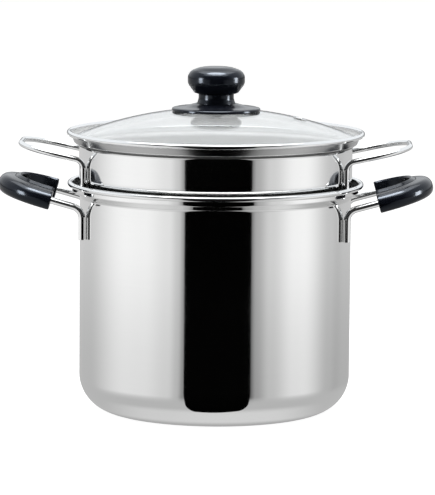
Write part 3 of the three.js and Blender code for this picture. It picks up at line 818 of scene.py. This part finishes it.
def makeKnob():
    bm = bmesh.new()
    foot = knobBox[0].z
    top = knobBox[1].z
    widest = foot + knob["capWidest"]
    side = knob["sideRound"]
    drawLine(bm, [(0.0, foot), (knob["foot"], foot, knob["footRound"]),
                  (knob["foot"], foot + knob["sunk"], knob["creaseRound"]),
                  (knob["waist"], foot + knob["footRise"], side),
                  (knob["waist"], foot + knob["capBottom"] - knob["rebate"], knob["creaseRound"]),
                  (knob["capLower"], foot + knob["capBottom"], knob["lowerRound"]),
                  (knob["capRadius"], widest - knob["below"], side),
                  (knob["capRadius"], widest + knob["above"], side),
                  (knob["shoulder"][0], foot + knob["shoulder"][1], side),
                  (knob["crown"][0], foot + knob["crown"][1], knob["crownRound"]),
                  (knob["flat"], top, knob["flatRound"]), (0.0, top)])
    spinRound(bm, knob["steps"])
    finishPiece("lidKnob", bm, "lid", "black_phenolic", phenolic, "lid_knob")


makeKnob()

fixing = dict(hole=0.0029, gasketSoft=0.0003, washerSoft=0.0002, discSteps=72, screw=0.0025, head=0.005,
              headHigh=0.0024, headRound=0.0016, recess=0.0022, recessFloor=0.7, recessDeep=0.0014,
              edgeRound=0.0002, tipRound=0.0004, screwSteps=48)


def makeDisc(name, node, slot, material, inner, soft):
    low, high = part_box(node)
    bm = bmesh.new()
    drawLine(bm, [(inner, low.z, soft), (high.x, low.z, soft), (high.x, high.z, soft), (inner, high.z, soft)],
             closed=True)
    spinRound(bm, fixing["discSteps"])
    finishPiece(name, bm, "lid", slot, material, node)


makeDisc("gasketUpper", "knob_gasket_upper", "silicone", silicone, fixing["hole"], fixing["gasketSoft"])
makeDisc("gasketLower", "knob_gasket_lower", "silicone", silicone, fixing["hole"], fixing["gasketSoft"])
makeDisc("clampWasher", "knob_washer", "polished_steel", rodSteel, fixing["hole"], fixing["washerSoft"])


def makeScrew():
    low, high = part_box("knob_screw")
    bm = bmesh.new()
    under = low.z + fixing["headHigh"]
    deep = low.z + fixing["recessDeep"]
    drawLine(bm, [(0.0, deep), (fixing["recess"] * fixing["recessFloor"], deep),
                  (fixing["recess"], low.z, fixing["edgeRound"]),
                  (fixing["head"], low.z, fixing["headRound"]), (fixing["head"], under, fixing["edgeRound"]),
                  (fixing["screw"], under), (fixing["screw"], high.z, fixing["tipRound"]), (0.0, high.z)])
    spinRound(bm, fixing["screwSteps"])
    finishPiece("knobScrew", bm, "lid", "polished_steel", rodSteel, "knob_screw")


makeScrew()

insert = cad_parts["knob_insert"]
insert.data.materials.clear()
insert.data.materials.append(brass)


# studio: pale floor, white wall behind, dark room in front; a dark flag gives the walls their black band

studio = dict(floorHalf=9.0, floorTone=0.85, lift=0.8, underGlow=0.42, underEdge=(0.089, 0.097),
              nearGlow=0.5, nearEdge=(0.109, 0.121), farEdge=(0.13, 0.19), dimmed=0.8, dimEdge=(0.2, 1.3),
              sweep=0.05, flagNear=0.1122, flagFar=4.5, flagRise=0.0004, flagRound=(0.0085, 0.016),
              flagSteps=8, flagLeft=(0.0244, 24.6), flagRight=(0.035, 31.8), flagTone=0.001, room=0.3,
              upper=0.85, highEdge=(0.72, 0.88), horizon=0.25, horizonEdge=(0.02, 0.15),
              cool=(0.94, 0.97, 1.0))
floorStops = [(0.0, 0.63), (0.13, 0.63), (0.28, 1.0), (0.33, 0.98), (0.395, 0.83), (0.418, 0.63),
              (0.432, 0.33), (0.585, 0.15), (0.6, 0.44), (0.635, 0.69), (0.7, 0.98), (0.725, 1.0),
              (0.82, 0.6), (0.86, 0.54), (0.9, 0.57)]
footStops = [(0.3, 0.5), (0.42, 0.66), (0.5, 0.69), (0.58, 0.69), (0.7, 0.5)]
wallStops = [(0.0, 0.04), (0.25, 0.06), (0.34, 0.5), (0.43, 0.95), (0.55, 1.0), (1.0, 1.0)]


def straightRays(nodes, links, ray):
    # what the camera sees, also through the glass
    return mathNode(nodes, links, "MAXIMUM", ray.outputs["Is Camera Ray"], ray.outputs["Is Transmission Ray"])


def makeFloor():
    bm = bmesh.new()
    bmesh.ops.create_grid(bm, x_segments=1, y_segments=1, size=studio["floorHalf"])
    mesh = bpy.data.meshes.new("floor")
    bm.to_mesh(mesh)
    bm.free()
    floor = bpy.data.objects.new("floor", mesh)
    scene.collection.objects.link(floor)
    material = bpy.data.materials.new("paleFloor")
    material.use_nodes = True
    nodes, links = material.node_tree.nodes, material.node_tree.links
    nodes.clear()
    ray = nodes.new("ShaderNodeLightPath")
    matt = nodes.new("ShaderNodeBsdfDiffuse")
    tone = studio["floorTone"]
    matt.inputs["Color"].default_value = (tone, tone, tone, 1.0)
    lift = nodes.new("ShaderNodeEmission")
    straight = straightRays(nodes, links, ray)
    links.new(mathNode(nodes, links, "MULTIPLY", straight, studio["lift"]), lift.inputs["Strength"])
    seen = nodes.new("ShaderNodeAddShader")
    links.new(matt.outputs[0], seen.inputs[0])
    links.new(lift.outputs[0], seen.inputs[1])
    mirrored = nodes.new("ShaderNodeEmission")
    place = nodes.new("ShaderNodeTexCoord").outputs["Object"]
    links.new(floorGlow(nodes, links, place), mirrored.inputs["Color"])
    pick = nodes.new("ShaderNodeMixShader")
    links.new(ray.outputs["Is Glossy Ray"], pick.inputs[0])
    links.new(seen.outputs[0], pick.inputs[1])
    links.new(mirrored.outputs[0], pick.inputs[2])
    links.new(pick.outputs[0], nodes.new("ShaderNodeOutputMaterial").inputs["Surface"])
    mesh.materials.append(material)


def glowRamp(nodes, links, share, stops):
    ramp = nodes.new("ShaderNodeValToRGB")
    ramp.color_ramp.interpolation = "EASE"
    points = ramp.color_ramp.elements
    while len(points) < len(stops):
        points.new(0.5)
    for point, (at, glow) in zip(points, stops):
        point.position = at
        point.color = (glow, glow, glow, 1.0)
    links.new(share, ramp.inputs[0])
    return ramp.outputs["Color"]


def blendColours(nodes, links, share, first, second):
    node = nodes.new("ShaderNodeMix")
    node.data_type = "RGBA"
    for socket, colour in (("A", first), ("B", second)):
        if isinstance(colour, float):
            node.inputs[socket].default_value = (colour, colour, colour, 1.0)
        else:
            links.new(colour, node.inputs[socket])
    links.new(share, node.inputs["Factor"])
    return node.outputs["Result"]


def floorGlow(nodes, links, place):
    # the floor's brightness in reflections, by compass angle: dark front, two lit sides, calmer back
    split = nodes.new("ShaderNodeSeparateXYZ")
    links.new(place, split.inputs[0])
    far = nodes.new("ShaderNodeVectorMath")
    far.operation = "LENGTH"
    links.new(place, far.inputs[0])
    away = far.outputs["Value"]
    front = mathNode(nodes, links, "MULTIPLY", split.outputs["Y"], -1.0)
    compass = mathNode(nodes, links, "ARCTAN2", split.outputs["X"], front)
    turn = mathNode(nodes, links, "DIVIDE", compass, math.tau)
    # close to the pot the lit sides lie nearer to the front
    bend = mathNode(nodes, links, "SUBTRACT", 1.0, mathNode(nodes, links, "DIVIDE", studio["sweep"], away))
    swept = mathNode(nodes, links, "ADD", mathNode(nodes, links, "DIVIDE", turn, bend), 0.5)
    lit = nodes.new("ShaderNodeVectorMath")
    lit.operation = "SCALE"
    links.new(glowRamp(nodes, links, swept, floorStops), lit.inputs[0])
    links.new(easeBetween(nodes, links, away, *studio["dimEdge"], studio["dimmed"]), lit.inputs["Scale"])
    # painted shadow: in reflections the floor is darker under the pot and just beside it, lit again further
    # out
    foot = glowRamp(nodes, links, mathNode(nodes, links, "ADD", turn, 0.5), footStops)
    outside = easeBetween(nodes, links, away, *studio["underEdge"])
    under = blendColours(nodes, links, outside, studio["underGlow"], foot)
    outside = easeBetween(nodes, links, away, *studio["nearEdge"])
    beside = blendColours(nodes, links, outside, under, studio["nearGlow"])
    outside = easeBetween(nodes, links, away, *studio["farEdge"])
    return blendColours(nodes, links, outside, beside, lit.outputs["Vector"])


def roomGlow(nodes, links, place):
    # white wall behind that dims along the horizon, dark room in front, white overhead
    split = nodes.new("ShaderNodeSeparateXYZ")
    links.new(place, split.inputs[0])
    wide = mathNode(nodes, links, "ABSOLUTE", split.outputs["X"])
    front = mathNode(nodes, links, "MULTIPLY", split.outputs["Y"], -1.0)
    turn = mathNode(nodes, links, "DIVIDE", mathNode(nodes, links, "ARCTAN2", wide, front), math.pi)
    lit = nodes.new("ShaderNodeVectorMath")
    lit.operation = "SCALE"
    links.new(glowRamp(nodes, links, turn, wallStops), lit.inputs[0])
    climb = easeBetween(nodes, links, split.outputs["Z"], *studio["horizonEdge"], studio["horizon"])
    links.new(climb, lit.inputs["Scale"])
    high = easeBetween(nodes, links, split.outputs["Z"], *studio["highEdge"])
    glow = blendColours(nodes, links, high, lit.outputs["Vector"], studio["upper"])
    cool = nodes.new("ShaderNodeVectorMath")
    cool.operation = "MULTIPLY"
    cool.inputs[1].default_value = studio["cool"]
    links.new(glow, cool.inputs[0])
    return cool.outputs["Vector"]


def makeFlag():
    # lies on the floor from the pot's front outwards; seen only in reflections
    bm = bmesh.new()
    wide, deep = studio["flagRound"]
    sides = []
    for (half, degrees), sign in ((studio["flagLeft"], -1.0), (studio["flagRight"], 1.0)):
        slope = math.tan(math.radians(degrees))
        outline = []
        for step in range(studio["flagSteps"] + 1):
            angle = math.radians(90.0 * step / studio["flagSteps"])
            inset, back = wide * (1.0 - math.sin(angle)), deep * (1.0 - math.cos(angle))
            outline.append((half + slope * back - inset, studio["flagNear"] + back))
        outline.append((half + slope * (studio["flagFar"] - studio["flagNear"]), studio["flagFar"]))
        sides.append([bm.verts.new((sign * across, -away, studio["flagRise"])) for across, away in outline])
    bm.faces.new(sides[0] + sides[1][::-1])
    mesh = bpy.data.meshes.new("darkFlag")
    bm.to_mesh(mesh)
    bm.free()
    flag = bpy.data.objects.new("darkFlag", mesh)
    scene.collection.objects.link(flag)
    flag.visible_camera = False
    flag.visible_diffuse = False
    flag.visible_shadow = False
    material, nodes, links, shader = startMaterial("darkFlag")
    tone = studio["flagTone"]
    shader.inputs["Base Color"].default_value = (tone, tone, tone, 1.0)
    shader.inputs["Roughness"].default_value = 1.0
    shader.inputs["Specular IOR Level"].default_value = 0.0
    mesh.materials.append(material)


def makeSurroundings():
    world = bpy.data.worlds.new("whiteStudio")
    scene.world = world
    world.use_nodes = True
    nodes, links = world.node_tree.nodes, world.node_tree.links
    nodes.clear()
    ray = nodes.new("ShaderNodeLightPath")
    white = nodes.new("ShaderNodeBackground")
    white.inputs["Color"].default_value = (1.0, 1.0, 1.0, 1.0)
    room = nodes.new("ShaderNodeBackground")
    room.inputs["Strength"].default_value = studio["room"]
    walls = nodes.new("ShaderNodeBackground")
    place = nodes.new("ShaderNodeTexCoord").outputs["Generated"]
    links.new(roomGlow(nodes, links, place), walls.inputs["Color"])
    mirrored = nodes.new("ShaderNodeMixShader")
    links.new(ray.outputs["Is Glossy Ray"], mirrored.inputs[0])
    links.new(room.outputs[0], mirrored.inputs[1])
    links.new(walls.outputs[0], mirrored.inputs[2])
    pick = nodes.new("ShaderNodeMixShader")
    links.new(straightRays(nodes, links, ray), pick.inputs[0])
    links.new(mirrored.outputs[0], pick.inputs[1])
    links.new(white.outputs[0], pick.inputs[2])
    links.new(pick.outputs[0], nodes.new("ShaderNodeOutputWorld").inputs["Surface"])


# the softbox lights everything; the glints put the photograph's highlights on the black pieces
lampAim = (0.0, 0.0, 0.2)
softbox = dict(name="topSoftbox", place=(0.0, -0.2, 1.65), size=(2.0, 1.6), power=24.0)
glints = [dict(name="topGlint", place=(0.0, -0.2, 1.7), size=(1.3, 0.9), power=75.0, shape="ELLIPSE"),
          dict(name="leftGlint", place=(-1.46, -0.71, 0.4), size=(0.42, 0.64), power=22.0),
          dict(name="rightGlint", place=(1.62, -0.06, 0.4), size=(0.42, 0.64), power=22.0),
          dict(name="skyGlint", place=(0.0, 0.4, 2.4), size=(2.8, 2.4), power=48.0)]


def makeLamp(name, place, size, power, shape="RECTANGLE"):
    lamp = bpy.data.lights.new(name, "AREA")
    lamp.shape = shape
    lamp.size, lamp.size_y = size
    lamp.energy = power
    light = bpy.data.objects.new(name, lamp)
    scene.collection.objects.link(light)
    light.location = place
    light.rotation_euler = (Vector(lampAim) - Vector(place)).to_track_quat("-Z", "Y").to_euler()
    return light


makeFloor()
makeFlag()
makeSurroundings()
makeLamp(**softbox)
for glint in glints:
    makeLamp(**glint).light_linking.receiver_collection = blackPieces
print("studio lit")

bpy.context.view_layer.update()
